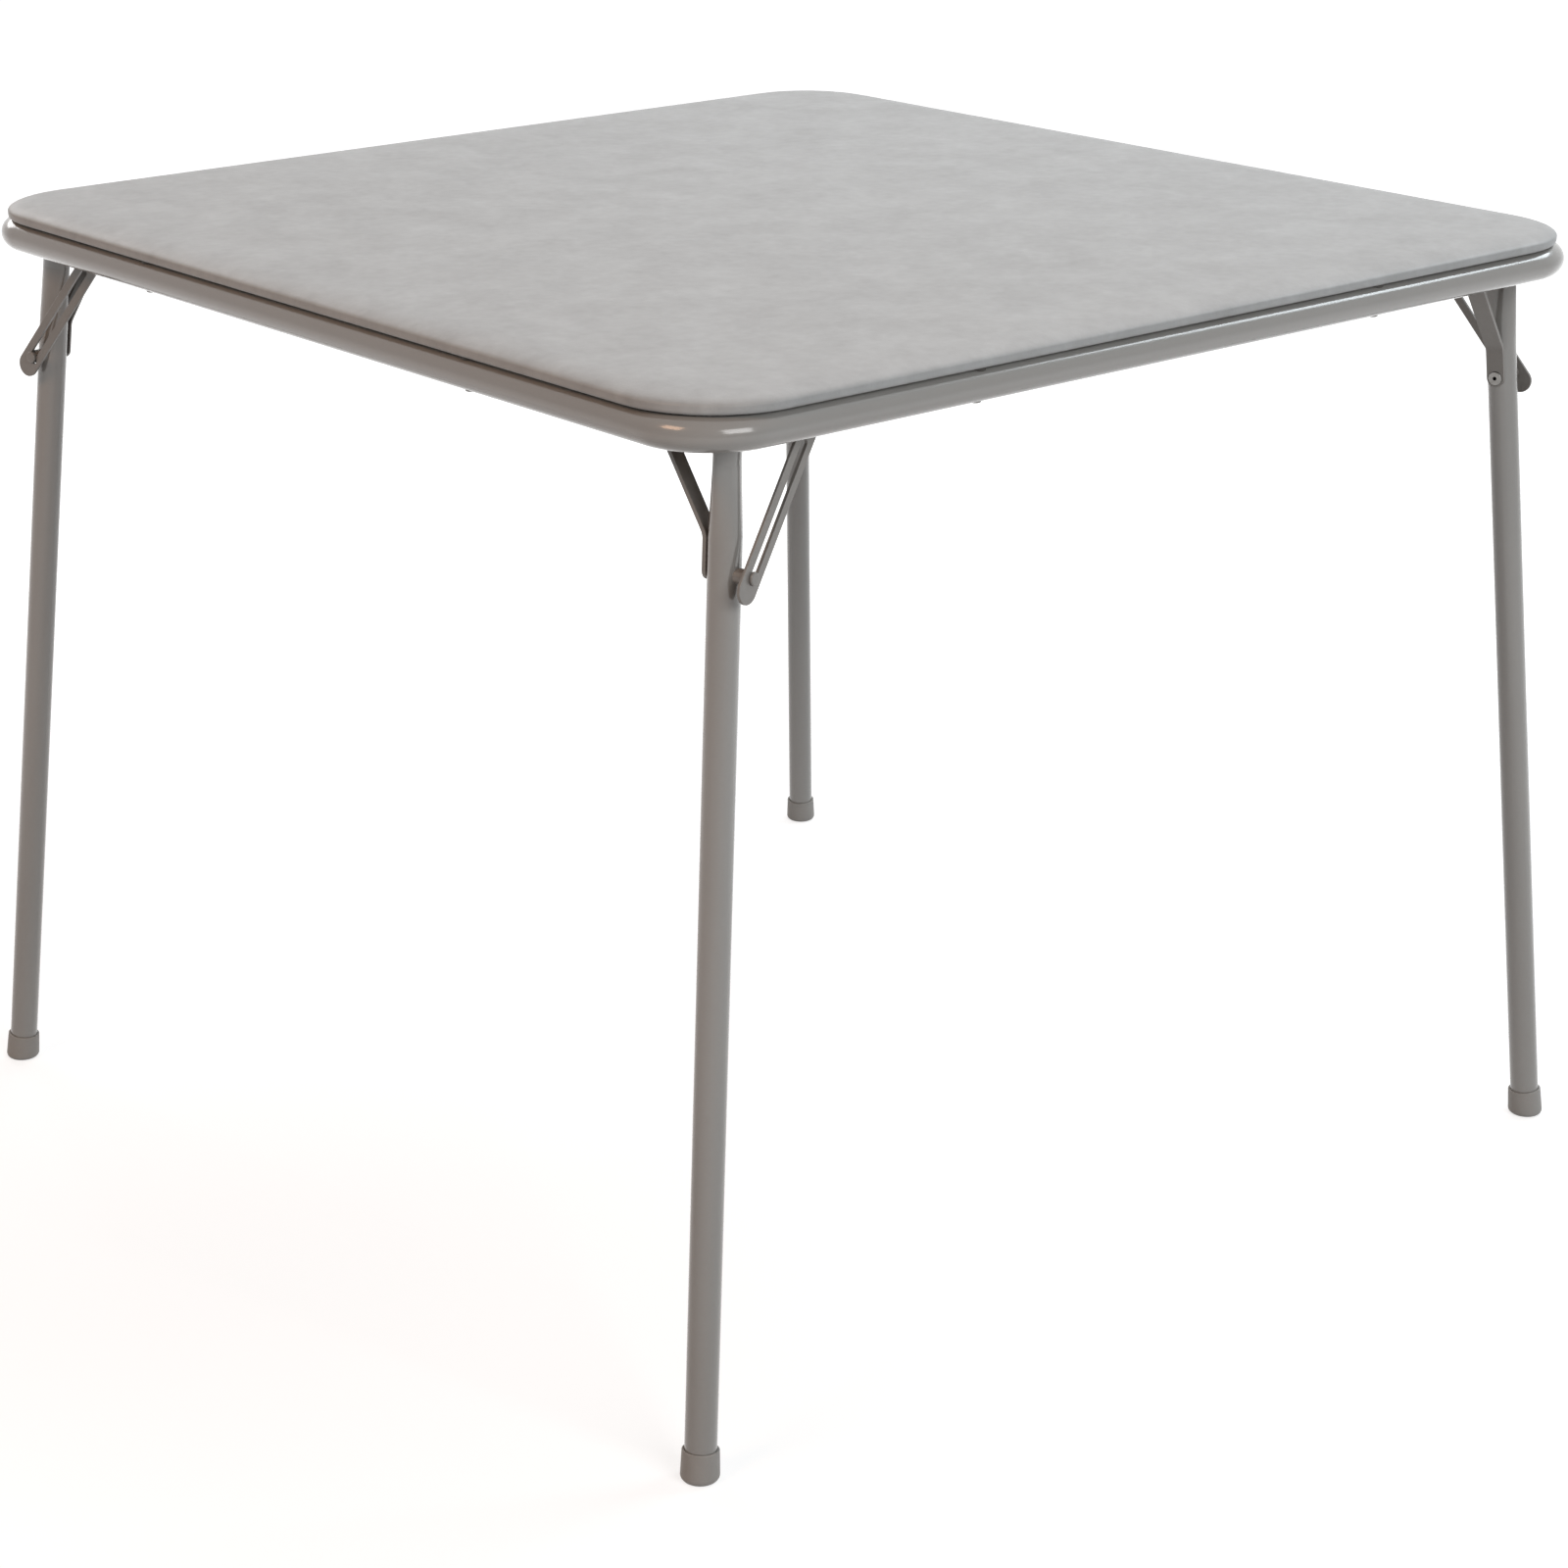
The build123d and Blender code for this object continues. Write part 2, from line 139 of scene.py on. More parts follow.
class NodeBoard:
    """A node tree with short calls for placing and joining its nodes."""

    def __init__(self, tree: bpy.types.NodeTree) -> None:
        """Starts on a tree and empties it."""
        self.tree = tree
        tree.nodes.clear()

    def node(
        self, kind: str, /, settings: Optional[dict[str, Any]] = None, **inputs: Any
    ) -> bpy.types.Node:
        """Places a node, sets its properties and fills or joins its inputs.

        Args:
            kind: the node's Blender type.
            settings: properties such as operation or data_type.
            inputs: socket names with spaces as underscores, each with a value or a socket.

        Returns:
            The node.
        """
        made = self.tree.nodes.new(kind)
        for key, value in (settings or {}).items():
            setattr(made, key, value)
        for key, value in inputs.items():
            self.feed(made, key.replace("_", " "), value)
        return made

    def feed(self, node: bpy.types.Node, name: Any, value: Any) -> None:
        """Joins a socket, or sets a value, on one of a node's inputs.

        Args:
            node: the node that takes it.
            name: the input's name or number.
            value: an output socket, or a plain value.
        """
        socket = node.inputs[name]
        if isinstance(value, bpy.types.NodeSocket):
            self.tree.links.new(value, socket)
        elif isinstance(value, tuple) and len(value) == 3 and len(socket.default_value) == 4:
            socket.default_value = (*value, 1.0)
        else:
            socket.default_value = value

    def maths(self, operation: str, *values: Any) -> bpy.types.NodeSocket:
        """A Math node.

        Args:
            operation: the sum to do.
            values: its inputs, as numbers or sockets.

        Returns:
            The result's socket.
        """
        made = self.tree.nodes.new("ShaderNodeMath")
        made.operation = operation
        for place, value in enumerate(values):
            self.feed(made, place, value)
        return made.outputs[0]

    def mix(self, kind: Mix, share: Any, first: Any, second: Any) -> bpy.types.NodeSocket:
        """A Mix node.

        Args:
            kind: what it blends.
            share: how much of the second shows, as a number or a socket.
            first, second: what it blends between, as values or sockets.

        Returns:
            The result's socket.
        """
        data_type, first_place, second_place, result = kind.value
        made = self.node("ShaderNodeMix", {"data_type": data_type})
        self.feed(made, 0, share)
        self.feed(made, first_place, first)
        self.feed(made, second_place, second)
        return made.outputs[result]


class SharedEffects:
    """The node groups that several finishes place with their own values."""

    def __init__(self) -> None:
        """Builds each group once."""
        self.mottle = self._mottle()
        self.grain = self._grain()
        self.marks = self._marks()

    @staticmethod
    def _group(name: str, inputs: dict[str, str], outputs: dict[str, str]) -> bpy.types.NodeTree:
        """Starts a shader group with named sockets.

        Args:
            name: the group's name.
            inputs: each input's socket kind.
            outputs: each output's socket kind.

        Returns:
            The group's tree.
        """
        tree = bpy.data.node_groups.new(name, "ShaderNodeTree")
        for label, kind in inputs.items():
            tree.interface.new_socket(label, in_out="INPUT", socket_type=kind)
        for label, kind in outputs.items():
            tree.interface.new_socket(label, in_out="OUTPUT", socket_type=kind)
        return tree

    def _mottle(self) -> bpy.types.NodeTree:
        """Soft cloudy patches between a dark and a light colour, at two sizes."""
        tree = self._group(
            "mottled colour",
            {
                "Vector": "NodeSocketVector",
                "Patch Scale": "NodeSocketFloat",
                "Fleck Scale": "NodeSocketFloat",
                "Fleck Share": "NodeSocketFloat",
                "Contrast": "NodeSocketFloat",
                "Dark": "NodeSocketColor",
                "Light": "NodeSocketColor",
            },
            {"Color": "NodeSocketColor"},
        )
        board = NodeBoard(tree)
        given = board.node("NodeGroupInput")
        patches = board.node(
            "ShaderNodeTexNoise",
            {"noise_dimensions": "3D"},
            Vector=given.outputs["Vector"],
            Scale=given.outputs["Patch Scale"],
            Detail=5.0,
            Roughness=0.55,
            Distortion=0.35,
        )
        flecks = board.node(
            "ShaderNodeTexNoise",
            {"noise_dimensions": "3D"},
            Vector=given.outputs["Vector"],
            Scale=given.outputs["Fleck Scale"],
            Detail=3.0,
            Roughness=0.6,
        )
        both = board.mix(
            Mix.NUMBER,
            given.outputs["Fleck Share"],
            patches.outputs["Fac"],
            flecks.outputs["Fac"],
        )
        middle = 0.5
        centred = board.maths("SUBTRACT", both, middle)
        spread = board.maths("MULTIPLY_ADD", centred, given.outputs["Contrast"], middle)
        mask = board.node("ShaderNodeClamp", Value=spread).outputs[0]
        tint = board.mix(Mix.COLOUR, mask, given.outputs["Dark"], given.outputs["Light"])
        board.node("NodeGroupOutput", Color=tint)
        return tree

    def _grain(self) -> bpy.types.NodeTree:
        """A pebbled height, such as leathercloth or sprayed paint has."""
        tree = self._group(
            "pebbled grain",
            {
                "Vector": "NodeSocketVector",
                "Pebble Scale": "NodeSocketFloat",
                "Crease Scale": "NodeSocketFloat",
                "Crease Share": "NodeSocketFloat",
            },
            {"Height": "NodeSocketFloat"},
        )
        board = NodeBoard(tree)
        given = board.node("NodeGroupInput")
        pebbles = board.node(
            "ShaderNodeTexVoronoi",
            {"feature": "SMOOTH_F1"},
            Vector=given.outputs["Vector"],
            Scale=given.outputs["Pebble Scale"],
            Smoothness=0.7,
        )
        creases = board.node(
            "ShaderNodeTexNoise",
            Vector=given.outputs["Vector"],
            Scale=given.outputs["Crease Scale"],
            Detail=4.0,
            Roughness=0.6,
        )
        height = board.mix(
            Mix.NUMBER,
            given.outputs["Crease Share"],
            pebbles.outputs["Distance"],
            creases.outputs["Fac"],
        )
        board.node("NodeGroupOutput", Height=height)
        return tree

    def _marks(self) -> bpy.types.NodeTree:
        """A mask of handling marks: the dull patches that hands and use leave."""
        tree = self._group(
            "handling marks",
            {
                "Vector": "NodeSocketVector",
                "Scale": "NodeSocketFloat",
                "Amount": "NodeSocketFloat",
            },
            {"Mask": "NodeSocketFloat"},
        )
        board = NodeBoard(tree)
        given = board.node("NodeGroupInput")
        dull = board.node(
            "ShaderNodeTexNoise",
            Vector=given.outputs["Vector"],
            Scale=given.outputs["Scale"],
            Detail=6.0,
            Roughness=0.7,
        )
        threshold, steepness = 0.5, 4.0
        above = board.maths("SUBTRACT", dull.outputs["Fac"], threshold)
        shown = board.maths("MULTIPLY", board.maths("MAXIMUM", above, 0.0), steepness)
        mask = board.maths("MULTIPLY", shown, given.outputs["Amount"])
        board.node("NodeGroupOutput", Mask=board.node("ShaderNodeClamp", Value=mask).outputs[0])
        return tree


@dataclass(frozen=True)
class Finish:
    """One surface finish: its colours, the scale of its pattern and its gloss."""

    name: str
    dark: Colour
    light: Colour
    roughness: float
    worn_roughness: float
    patch_scale: float
    fleck_scale: float
    contrast: float
    pebble_scale: float
    crease_scale: float
    bump_depth: float
    fleck_share: float = 0.35
    crease_share: float = 0.4
    metallic: float = 0.0
    coat: float = 0.0
    coat_roughness: float = 0.1
    sheen: float = 0.0
    specular: float = 0.5
    wear_scale: float = 60.0
    wear: float = 0.3

    def build(self, effects: SharedEffects) -> bpy.types.Material:
        """Makes the material.

        Args:
            effects: the shared node groups.

        Returns:
            The material, ready to assign.
        """
        material = bpy.data.materials.new(self.name)
        material.use_nodes = True
        board = NodeBoard(material.node_tree)
        place = board.node("ShaderNodeTexCoord").outputs["Object"]
        tint = board.node(
            "ShaderNodeGroup",
            {"node_tree": effects.mottle},
            Vector=place,
            Patch_Scale=self.patch_scale,
            Fleck_Scale=self.fleck_scale,
            Fleck_Share=self.fleck_share,
            Contrast=self.contrast,
            Dark=self.dark,
            Light=self.light,
        )
        height = board.node(
            "ShaderNodeGroup",
            {"node_tree": effects.grain},
            Vector=place,
            Pebble_Scale=self.pebble_scale,
            Crease_Scale=self.crease_scale,
            Crease_Share=self.crease_share,
        )
        marks = board.node(
            "ShaderNodeGroup",
            {"node_tree": effects.marks},
            Vector=place,
            Scale=self.wear_scale,
            Amount=self.wear,
        )
        gloss = board.mix(
            Mix.NUMBER, marks.outputs["Mask"], self.roughness, self.worn_roughness
        )
        bump = board.node(
            "ShaderNodeBump",
            Strength=1.0,
            Distance=self.bump_depth,
            Height=height.outputs["Height"],
        )
        shader = board.node(
            "ShaderNodeBsdfPrincipled",
            Base_Color=tint.outputs["Color"],
            Roughness=gloss,
            Metallic=self.metallic,
            Specular_IOR_Level=self.specular,
            Coat_Weight=self.coat,
            Coat_Roughness=self.coat_roughness,
            Sheen_Weight=self.sheen,
            Normal=bump.outputs["Normal"],
        )
        board.node("ShaderNodeOutputMaterial", Surface=shader.outputs["BSDF"])
        return material


@dataclass(frozen=True)
class FinishSet:
    """Every finish on the table."""

    vinyl: Finish = Finish(
        "grey leathercloth",
        dark=linear(170, 172, 173),
        light=linear(193, 196, 197),
        roughness=0.4,
        worn_roughness=0.52,
        patch_scale=26.0,
        fleck_scale=110.0,
        fleck_share=0.4,
        contrast=2.4,
        pebble_scale=620.0,
        crease_scale=150.0,
        crease_share=0.5,
        bump_depth=0.00012,
        specular=0.2,
        sheen=0.05,
    )
    paint: Finish = Finish(
        "grey gloss enamel",
        dark=linear(148, 146, 143),
        light=linear(155, 154, 151),
        roughness=0.18,
        worn_roughness=0.27,
        patch_scale=9.0,
        fleck_scale=300.0,
        fleck_share=0.3,
        contrast=1.4,
        pebble_scale=260.0,
        crease_scale=90.0,
        crease_share=0.6,
        bump_depth=0.000006,
        specular=0.6,
        coat=0.5,
        coat_roughness=0.13,
        wear=0.25,
    )
    brace_paint: Finish = Finish(
        "grey enamel on pressed steel",
        dark=linear(128, 124, 120),
        light=linear(140, 137, 133),
        roughness=0.36,
        worn_roughness=0.5,
        patch_scale=40.0,
        fleck_scale=420.0,
        contrast=1.8,
        pebble_scale=420.0,
        crease_scale=160.0,
        bump_depth=0.00003,
        coat=0.3,
        coat_roughness=0.2,
        wear=0.45,
        wear_scale=140.0,
    )
    cap: Finish = Finish(
        "grey moulded plastic",
        dark=linear(158, 156, 153),
        light=linear(169, 167, 164),
        roughness=0.52,
        worn_roughness=0.7,
        patch_scale=70.0,
        fleck_scale=600.0,
        contrast=2.0,
        pebble_scale=1500.0,
        crease_scale=500.0,
        bump_depth=0.00004,
        wear=0.6,
        wear_scale=120.0,
    )
    washer: Finish = Finish(
        "dark moulded plastic",
        dark=linear(66, 64, 61),
        light=linear(78, 76, 73),
        roughness=0.6,
        worn_roughness=0.75,
        patch_scale=90.0,
        fleck_scale=700.0,
        contrast=2.0,
        pebble_scale=1500.0,
        crease_scale=500.0,
        bump_depth=0.00004,
        specular=0.3,
        wear=0.6,
        wear_scale=120.0,
    )
    zinc: Finish = Finish(
        "zinc plated steel",
        dark=linear(116, 115, 113),
        light=linear(150, 149, 147),
        roughness=0.32,
        worn_roughness=0.5,
        patch_scale=120.0,
        fleck_scale=900.0,
        contrast=2.6,
        pebble_scale=1400.0,
        crease_scale=700.0,
        bump_depth=0.00002,
        metallic=1.0,
        wear=0.8,
        wear_scale=200.0,
    )
    hardboard: Finish = Finish(
        "brown hardboard",
        dark=linear(98, 70, 48),
        light=linear(132, 98, 70),
        roughness=0.72,
        worn_roughness=0.85,
        patch_scale=34.0,
        fleck_scale=520.0,
        fleck_share=0.55,
        contrast=3.0,
        pebble_scale=1100.0,
        crease_scale=420.0,
        crease_share=0.7,
        bump_depth=0.00012,
        specular=0.3,
    )


class Finishes:
    """The built materials, each made once."""

    def __init__(self, effects: SharedEffects, chosen: FinishSet) -> None:
        """Builds every finish in the set.

        Args:
            effects: the shared node groups.
            chosen: the finishes to build.
        """
        self.vinyl = chosen.vinyl.build(effects)
        self.paint = chosen.paint.build(effects)
        self.brace_paint = chosen.brace_paint.build(effects)
        self.cap = chosen.cap.build(effects)
        self.washer = chosen.washer.build(effects)
        self.zinc = chosen.zinc.build(effects)
        self.hardboard = chosen.hardboard.build(effects)


def paint_node(node: bpy.types.Object, material: bpy.types.Material) -> None:
    """Gives one of the model's own nodes a finish.

    Args:
        node: the node's object.
        material: its finish.
    """
    node.data.materials.clear()
    node.data.materials.append(material)


def new_piece(name: str, mesh: bpy.types.Mesh, material: bpy.types.Material) -> bpy.types.Object:
    """Links a mesh to the scene as a piece with one finish.

    Args:
        name: the piece's name.
        mesh: its mesh, with its place in its points.
        material: its finish.

    Returns:
        The new object, at the origin.
    """
    mesh.materials.append(material)
    piece = bpy.data.objects.new(name, mesh)
    bpy.context.scene.collection.objects.link(piece)
    return piece


@dataclass
class RoundedSquare:
    """The panel's outline, a square with round corners, and how finely it is divided."""

    corner_steps: int = 12
    side_steps: int = 44

    @property
    def count(self) -> int:
        """How many points go round."""
        return len(Corner) * (self.corner_steps + self.side_steps)

    def points(self, half: float, radius: float) -> list[tuple[float, float]]:
        """Points round the outline, from the start of the front left corner's arc.

        Args:
            half: half of the square's side.
            radius: the corners' radius.

        Returns:
            The points, anticlockwise seen from above.
        """
        reach = half - radius
        quarter = []
        for step in range(self.corner_steps):
            angle = math.pi * (1 + 0.5 * step / self.corner_steps)
            quarter.append((-reach + radius * math.cos(angle), -reach + radius * math.sin(angle)))
        for step in range(self.side_steps):
            quarter.append((-reach + 2 * reach * step / self.side_steps, -half))
        around = []
        for corner in Corner:
            turn = corner.turn
            around += [tuple((turn @ Vector((x, y, 0.0))).xy) for x, y in quarter]
        return around


@dataclass(frozen=True)
class ClothFeel:
    """How the vinyl behaves while the foam puffs it up.

    Over the foam it is held by hold_over_foam, give or take swell, in long waves. The
    waves are in radians for each metre along X and Y, and their shift is in radians.
    """

    frames: int = 16
    quality: int = 4
    mass: float = 0.3
    stretch_stiffness: float = 20.0
    bending_stiffness: float = 0.6
    pin_stiffness: float = 1.0
    pressure: float = 4.0
    hold_over_foam: float = 0.35
    swell: float = 0.1
    waves: tuple[float, float] = (47.0, 41.0)
    wave_shift: tuple[float, float] = (1.3, 0.4)

    def hold(self, point: Vector) -> float:
        """How firmly a point over the foam is held, a little unevenly from place to place.

        Args:
            point: the point.

        Returns:
            A share from 0, free, to 1, held.
        """
        along, across = (
            math.sin(place * wave + shift)
            for place, wave, shift in zip(point.xy, self.waves, self.wave_shift)
        )
        return self.hold_over_foam + self.swell * (along * across)


@dataclass
class PaddedTop:
    """The vinyl skin over foam, turned under the board and stapled.

    The foam is pinched at its rim. The skin rises in a low wall, turns inwards along a
    quarter of a long flat oval, and swells a little more towards the middle.
    """

    finishes: Finishes
    corner_radius: float = 70.0 * MM
    bottom_edge: float = 2.6 * MM
    wall: float = 5.2 * MM
    roll_height: float = 5.9 * MM
    roll_reach: float = 23.0 * MM
    crown: float = 0.6 * MM
    vinyl: float = 0.9 * MM
    board: float = 4.5 * MM
    hem: float = 27.0 * MM
    outer_hem_stops: tuple[float, ...] = (1.0, 0.7, 0.4)
    inner_hem_stops: tuple[float, ...] = (0.6, 1.0)
    board_gap: float = 0.03 * MM
    fold: float = 0.9 * MM
    bottom_steps: int = 5
    roll_steps: int = 12
    crown_rings: int = 30
    crown_reach: float = 0.985
    ring_spread: float = 1.25
    corner_taper: float = 0.5
    least_radius: float = 0.1 * MM
    puff_limit: float = 0.9 * MM
    pucker: float = 0.25 * MM
    feel: ClothFeel = ClothFeel()
    outline: RoundedSquare = field(default_factory=RoundedSquare)

    def __post_init__(self) -> None:
        """Reads the panel's box from the model."""
        self.low, self.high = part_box("vinyl_cover")
        self.half = (self.high.x - self.low.x) / 2

    def outer_profile(self) -> list[tuple[float, float]]:
        """The skin's outside, from the hem's inner edge round to the crown's middle.

        Returns:
            Pairs of inset from the panel's side and height.
        """
        bottom = self.low.z
        profile = [(self.hem * stop, bottom) for stop in self.outer_hem_stops]
        for step in range(self.bottom_steps + 1):
            angle = math.pi / 2 * step / self.bottom_steps
            inset = self.bottom_edge * (1 - math.sin(angle))
            profile.append((inset, bottom + self.bottom_edge * (1 - math.cos(angle))))
        for step in range(self.roll_steps + 1):
            lean = math.pi / 2 * step / self.roll_steps
            turn = math.atan2(
                self.roll_height * math.sin(lean), self.roll_reach * math.cos(lean)
            )
            height = bottom + self.wall + self.roll_height * math.sin(turn)
            profile.append((self.roll_reach * (1 - math.cos(turn)), height))
        start, shoulder = self.roll_reach, bottom + self.wall + self.roll_height
        for ring in range(1, self.crown_rings + 1):
            share = (ring / self.crown_rings) ** self.ring_spread
            inset = start + (self.half * self.crown_reach - start) * share
            fall = (self.half - inset) / (self.half - start)
            profile.append((inset, shoulder + self.crown * (1 - fall**2)))
        return profile

    def inner_profile(self) -> list[tuple[float, float]]:
        """The skin's inside, from the crown's middle back round the board to the hem.

        Returns:
            Pairs of inset from the panel's side and height.
        """
        skin = self.vinyl - self.board_gap
        under = self.low.z + skin
        over = self.low.z + self.vinyl + self.board + self.board_gap
        edge = skin + self.fold
        profile = [
            (self.half * self.crown_reach, over),
            (self.half / 2, over),
            (edge, over),
            (skin, over - self.fold),
            (skin, under + self.fold),
            (edge, under),
        ]
        return profile + [(self.hem * stop, under) for stop in self.inner_hem_stops]

    def ring_points(self, inset: float, height: float) -> list[Vector]:
        """One ring of points at an inset and a height.

        Args:
            inset: the distance in from the panel's side.
            height: the ring's height.

        Returns:
            Its points, in order.
        """
        half = self.half - inset
        full = self.corner_radius - inset
        tapered = self.corner_taper * self.corner_radius * half / self.half
        radius = min(max(full, tapered, self.least_radius), half)
        return [Vector((x, y, height)) for x, y in self.outline.points(half, radius)]

    def skin(self) -> bpy.types.Mesh:
        """Builds the closed skin as rings of points joined in order.

        Returns:
            The skin's mesh. Its first points are the outside's rings, from the hem to the crown.
        """
        made = bmesh.new()
        outer = [self._ring(made, *place) for place in self.outer_profile()]
        inner = [self._ring(made, *place) for place in self.inner_profile()]
        turned_under = [(inner[-1], outer[0])]
        for lower, upper in [*zip(outer, outer[1:]), *zip(inner, inner[1:]), *turned_under]:
            self._band(made, lower, upper)
        self._close(made, outer[-1])
        self._close(made, inner[0])
        bmesh.ops.recalc_face_normals(made, faces=made.faces)
        mesh = bpy.data.meshes.new("padded_top")
        made.to_mesh(mesh)
        made.free()
        return mesh

    def _ring(
        self, made: bmesh.types.BMesh, inset: float, height: float
    ) -> list[bmesh.types.BMVert]:
        """Adds one ring of points, puckered where the hem turns a corner.

        Args:
            made: the mesh that takes it.
            inset: the distance in from the panel's side.
            height: the ring's height.

        Returns:
            The ring's points, in order.
        """
        points = self.ring_points(inset, height)
        if height <= self.low.z + TINY and inset > self.bottom_edge:
            depth = self.pucker * min(1.0, inset / self.hem)
            turning = self.outline.corner_steps
            for place, point in enumerate(points):
                step = place % (turning + self.outline.side_steps)
                if step <= turning:
                    point.z -= depth * (step % 2) * math.sin(math.pi * step / turning)
        return [made.verts.new(point) for point in points]

    @staticmethod
    def _band(
        made: bmesh.types.BMesh,
        lower: Sequence[bmesh.types.BMVert],
        upper: Sequence[bmesh.types.BMVert],
    ) -> None:
        """Joins two rings with a band of faces.

        Args:
            made: the mesh that holds them.
            lower, upper: the rings, with as many points each.
        """
        for place, point in enumerate(lower):
            after = (place + 1) % len(lower)
            made.faces.new((point, lower[after], upper[after], upper[place]))

    @staticmethod
    def _close(made: bmesh.types.BMesh, ring: Sequence[bmesh.types.BMVert]) -> None:
        """Closes a small ring with a fan of faces round its middle.

        Args:
            made: the mesh that holds it.
            ring: the ring's points.
        """
        middle = made.verts.new(sum((point.co for point in ring), Vector()) / len(ring))
        for place, point in enumerate(ring):
            made.faces.new((point, ring[(place + 1) % len(ring)], middle))

    def settle(self, mesh: bpy.types.Mesh) -> None:
        """Puffs the skin over its foam with a short cloth simulation.

        The hem and the turned edge are held. Over the foam the cloth is held softly,
        so that it rises a little, and no point moves further than the limit.

        Args:
            mesh: the skin, whose outside's points are moved.
        """
        rings = len(self.outer_profile())
        rest = [vertex.co.copy() for vertex in mesh.vertices[: rings * self.outline.count]]
        sheet = self._trial_sheet(rest, rings)
        self._add_cloth(sheet)
        moves = self._run_cloth(sheet, rest)
        highest = max(move.length for move in moves)
        LOG.info("cloth rose %.2f mm before the limit", highest / MM)
        for vertex, move in zip(mesh.vertices, moves):
            if move.length > self.puff_limit:
                move.length = self.puff_limit
            vertex.co = vertex.co + move

    def _trial_sheet(self, rest: Sequence[Vector], rings: int) -> bpy.types.Object:
        """Makes a sheet of the skin's outside for the simulation, with its held points.

        Args:
            rest: the points of the skin's outside.
            rings: how many rings they make.

        Returns:
            The sheet, with how firmly each point is held in its group "held".
        """
        count = self.outline.count
        faces = []
        for ring in range(rings - 1):
            low, high = ring * count, (ring + 1) * count
            for place in range(count):
                after = (place + 1) % count
                faces.append((low + place, low + after, high + after, high + place))
        mesh = bpy.data.meshes.new("skin_trial")
        mesh.from_pydata(rest, [], faces)
        sheet = bpy.data.objects.new("skin_trial", mesh)
        bpy.context.scene.collection.objects.link(sheet)
        held = sheet.vertex_groups.new(name="held")
        foam_from = self.low.z + self.wall + self.roll_height / 2
        for place, point in enumerate(rest):
            held.add([place], self.feel.hold(point) if point.z > foam_from else 1.0, "REPLACE")
        return sheet

    def _add_cloth(self, sheet: bpy.types.Object) -> None:
        """Gives the sheet its cloth, under pressure and without gravity.

        Args:
            sheet: the sheet.
        """
        cloth = sheet.modifiers.new("Cloth", "CLOTH")
        settings = cloth.settings
        settings.quality = self.feel.quality
        settings.mass = self.feel.mass
        settings.tension_stiffness = self.feel.stretch_stiffness
        settings.compression_stiffness = self.feel.stretch_stiffness
        settings.bending_stiffness = self.feel.bending_stiffness
        settings.use_pressure = True
        settings.uniform_pressure_force = self.feel.pressure
        settings.vertex_group_mass = "held"
        settings.pin_stiffness = self.feel.pin_stiffness
        settings.effector_weights.gravity = 0.0
        cloth.collision_settings.use_collision = False
        cloth.point_cache.frame_start, cloth.point_cache.frame_end = 1, self.feel.frames

    def _run_cloth(self, sheet: bpy.types.Object, rest: Sequence[Vector]) -> list[Vector]:
        """Steps the cloth through its frames, and takes the sheet away.

        Args:
            sheet: the sheet with its cloth.
            rest: where its points were at first.

        Returns:
            How far each point has moved.
        """
        scene = bpy.context.scene
        for frame in range(1, self.feel.frames + 1):
            scene.frame_set(frame)
        settled = sheet.evaluated_get(bpy.context.evaluated_depsgraph_get()).data.vertices
        moves = [settled[place].co - point for place, point in enumerate(rest)]
        scene.frame_set(1)
        mesh = sheet.data
        bpy.data.objects.remove(sheet)
        bpy.data.meshes.remove(mesh)
        return moves

    def build(self) -> bpy.types.Object:
        """Makes the padded top and gives it to the table's root body.

        Returns:
            The padded top.
        """
        mesh = self.skin()
        self.settle(mesh)
        mesh.shade_smooth()
        piece = new_piece("padded_top", mesh, self.finishes.vinyl)
        round_off = piece.modifiers.new("Round", "SUBSURF")
        round_off.levels = round_off.render_levels = 1
        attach(piece, ROOT_BODY)
        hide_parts("vinyl_cover", "foam_pad")
        LOG.info("padded top: %d points", len(mesh.vertices))
        return piece


